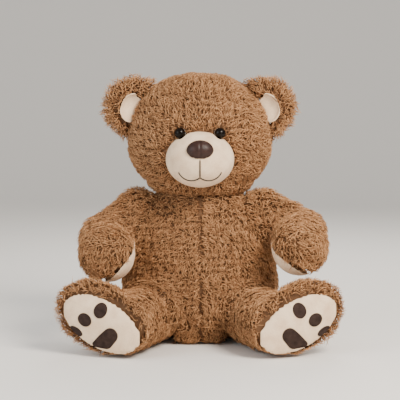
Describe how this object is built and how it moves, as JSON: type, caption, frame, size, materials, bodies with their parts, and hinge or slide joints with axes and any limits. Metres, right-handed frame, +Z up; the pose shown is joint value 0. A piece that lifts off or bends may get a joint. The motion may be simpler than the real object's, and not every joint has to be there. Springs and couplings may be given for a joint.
{
  "type": "teddy bear",
  "caption": "Seated stuffed teddy bear in curly brown plush with a pale muzzle, safety eyes, stitched smile, swinging arms and legs and a turning head.",
  "frame": {"origin": "on the seat plane, under the middle of the body", "axes": "+Z up, -Y the way the bear faces, +X the bear's own left"},
  "size_m": [0.5148, 0.3448, 0.5],
  "materials": {
    "plush": "long curly pile",
    "suede": "short brushed pile",
    "felt": "matt felt",
    "satin": "satin",
    "mouth_thread": "stranded cotton",
    "seam_thread": "twisted thread",
    "wadding": "loose fibre",
    "pellets": "woven bag",
    "eye": "gloss",
    "washer": "matt"
  },
  "bodies": {
    "body": {"body_cover_left": "plush", "body_cover_right": "plush", "body_filling": "wadding", "seat_pellet_bag": "pellets", "back_closing_thread": "seam_thread", "neck_seam_thread": "seam_thread", "left_arm_seam_thread": "seam_thread", "right_arm_seam_thread": "seam_thread", "left_leg_seam_thread": "seam_thread", "right_leg_seam_thread": "seam_thread"},
    "head": {"head_cover_left": "plush", "head_cover_right": "plush", "head_gusset": "plush", "head_filling": "wadding", "muzzle_cover": "suede", "muzzle_filling": "wadding", "nose_cover": "satin", "nose_filling": "wadding", "mouth_thread": "mouth_thread", "left_eye": "eye", "right_eye": "eye", "left_eye_washer": "washer", "right_eye_washer": "washer", "left_ear_back": "plush", "right_ear_back": "plush", "left_ear_lining": "suede", "right_ear_lining": "suede"},
    "left_arm": {"left_arm_cover_upper": "plush", "left_arm_cover_lower": "plush", "left_arm_filling": "wadding", "left_paw_pad": "suede"},
    "right_arm": {"right_arm_cover_upper": "plush", "right_arm_cover_lower": "plush", "right_arm_filling": "wadding", "right_paw_pad": "suede"},
    "left_leg": {"left_leg_cover_outer": "plush", "left_leg_cover_inner": "plush", "left_leg_filling": "wadding", "left_sole": "suede", "left_ball_patch": "felt", "left_toe_patches": "felt"},
    "right_leg": {"right_leg_cover_outer": "plush", "right_leg_cover_inner": "plush", "right_leg_filling": "wadding", "right_sole": "suede", "right_ball_patch": "felt", "right_toe_patches": "felt"}
  },
  "joints": [
    {"name": "neck_turn", "type": "hinge", "parent": "body", "child": "head", "pos_m": [0, 0, 0.2753], "axis": [0, 0, 1], "range_deg": [-40, 40], "stiffness_Nm_per_rad": 0.5},
    {"name": "left_shoulder", "type": "hinge", "parent": "body", "child": "left_arm", "pos_m": [0.116, -0.012, 0.239], "axis": [0, -1, 0], "range_deg": [0, 75], "stiffness_Nm_per_rad": 0.6},
    {"name": "right_shoulder", "type": "hinge", "parent": "body", "child": "right_arm", "pos_m": [-0.116, -0.012, 0.239], "axis": [0, 1, 0], "range_deg": [0, 75], "stiffness_Nm_per_rad": 0.6},
    {"name": "left_hip", "type": "hinge", "parent": "body", "child": "left_leg", "pos_m": [0.084, -0.05, 0.059], "axis": [0.9397, 0.342, 0], "range_deg": [0, 45], "stiffness_Nm_per_rad": 4},
    {"name": "right_hip", "type": "hinge", "parent": "body", "child": "right_leg", "pos_m": [-0.084, -0.05, 0.059], "axis": [0.9397, -0.342, 0], "range_deg": [0, 45], "stiffness_Nm_per_rad": 4}
  ]
}
